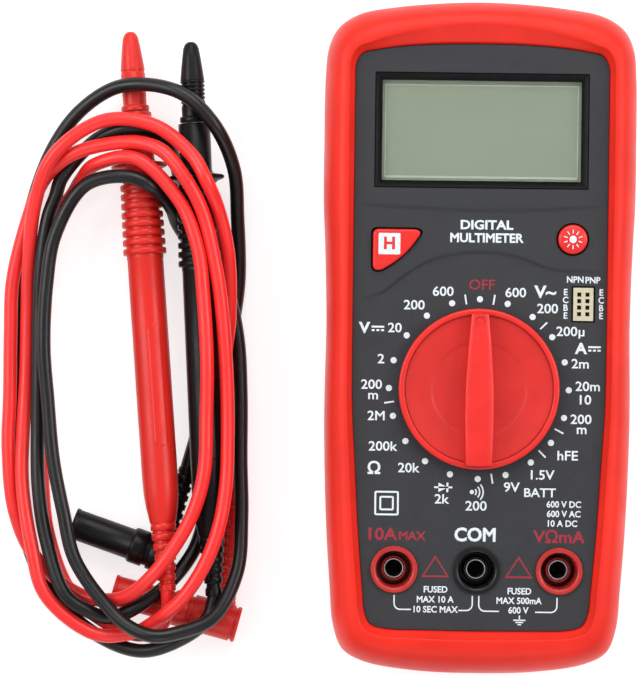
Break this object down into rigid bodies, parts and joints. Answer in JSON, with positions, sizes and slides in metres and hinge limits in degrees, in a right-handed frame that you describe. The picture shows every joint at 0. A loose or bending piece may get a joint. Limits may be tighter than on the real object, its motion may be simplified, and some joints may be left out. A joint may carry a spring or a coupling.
{
  "type": "digital multimeter",
  "caption": "Hand-held digital multimeter in a red boot, with rotary range selector, two keys, three input sockets, tilt stand and two test leads.",
  "frame": {"origin": "under the middle of the meter, on the surface that it lies on", "axes": "+Z out of the face, +Y towards the display, +X to the right of the face"},
  "size_m": [0.148, 0.156, 0.0387],
  "materials": {
    "red_rubber": "satin moulded rubber",
    "case_plastic": "fine spark texture",
    "clear_window": "clear",
    "lcd_glass": "grey-green display",
    "white_plastic": "moulded",
    "circuit_board": "solder mask",
    "black_epoxy": "matte",
    "fuse_glass": "clear",
    "brass": "bare",
    "steel": "zinc plated",
    "battery_wrap": "printed foil",
    "red_plastic": "satin",
    "cream_plastic": "moulded",
    "black_socket": "moulded",
    "red_lead_plastic": "satin soft PVC",
    "black_lead_plastic": "satin soft PVC",
    "red_cord_rubber": "satin PVC",
    "black_cord_rubber": "satin PVC"
  },
  "bodies": {
    "meter": {"boot": "red_rubber", "rear_case": "case_plastic", "front_case": "case_plastic", "window_lens": "clear_window", "lcd_panel": "lcd_glass", "lcd_holder": "white_plastic", "backlight_panel": "white_plastic", "zebra_strip": "red_rubber", "main_pcb": "circuit_board", "chip_blob": "black_epoxy", "fuse": "fuse_glass", "shunt_wire": "brass", "buzzer": "black_epoxy", "battery_9v": "battery_wrap", "battery_snap": "black_epoxy", "transistor_socket": "cream_plastic", "input_socket_10a": "red_plastic", "input_socket_com": "black_socket", "input_socket_volt_ohm": "red_plastic", "case_screw_1": "steel", "case_screw_2": "steel", "case_screw_3": "steel", "case_screw_4": "steel", "socket_sleeve_10a": "brass", "socket_sleeve_com": "brass", "socket_sleeve_volt_ohm": "brass", "fuse_clip_1": "brass", "tact_switch_1": "black_epoxy", "fuse_clip_2": "brass", "tact_switch_2": "black_epoxy"},
    "range_selector": {"selector_knob": "red_plastic", "selector_rotor": "white_plastic", "detent_spring_1": "steel", "detent_spring_2": "steel", "detent_ball_1": "steel", "detent_ball_2": "steel", "contact_wiper_1": "brass", "contact_wiper_2": "brass", "contact_wiper_3": "brass"},
    "hold_key": {"hold_button": "red_plastic"},
    "backlight_key": {"backlight_button": "red_plastic"},
    "stand": {"tilt_stand": "case_plastic"},
    "door": {"battery_door": "case_plastic", "battery_door_screw": "steel"},
    "test_leads": {"red_probe_body": "red_lead_plastic", "red_plug_body": "red_lead_plastic", "red_cord": "red_cord_rubber", "red_probe_needle": "steel", "red_plug_pin": "brass", "black_probe_body": "black_lead_plastic", "black_plug_body": "black_lead_plastic", "black_cord": "black_cord_rubber", "black_probe_needle": "steel", "black_plug_pin": "brass"},
    "red_cap": {"red_tip_cap": "red_lead_plastic"},
    "black_cap": {"black_tip_cap": "black_lead_plastic"}
  },
  "joints": [
    {"name": "range_selector_turn", "type": "hinge", "parent": "meter", "child": "range_selector", "pos_m": [0, -0.012, 0.031], "axis": [0, 0, 1], "continuous": true},
    {"name": "hold_press", "type": "slide", "parent": "meter", "child": "hold_key", "axis": [0, 0, -1], "range_m": [0, 0.0008], "stiffness_N_per_m": 400},
    {"name": "backlight_press", "type": "slide", "parent": "meter", "child": "backlight_key", "axis": [0, 0, -1], "range_m": [0, 0.0008], "stiffness_N_per_m": 400},
    {"name": "tilt_stand_swing", "type": "hinge", "parent": "meter", "child": "stand", "pos_m": [0, 0.022, 0.0017], "axis": [1, 0, 0], "range_deg": [0, 65]},
    {"name": "battery_door_lift_off", "type": "slide", "parent": "meter", "child": "door", "axis": [0, 0, -1], "range_m": [0, 0.03]},
    {"name": "test_leads_lift", "type": "slide", "parent": "meter", "child": "test_leads", "axis": [0, 0, 1], "range_m": [0, 0.15]},
    {"name": "red_cap_pull", "type": "slide", "parent": "test_leads", "child": "red_cap", "axis": [-0.0818, 0.9949, -0.0598], "range_m": [0, 0.025]},
    {"name": "black_cap_pull", "type": "slide", "parent": "test_leads", "child": "black_cap", "axis": [-0.0553, 0.9983, -0.02], "range_m": [0, 0.025]}
  ]
}
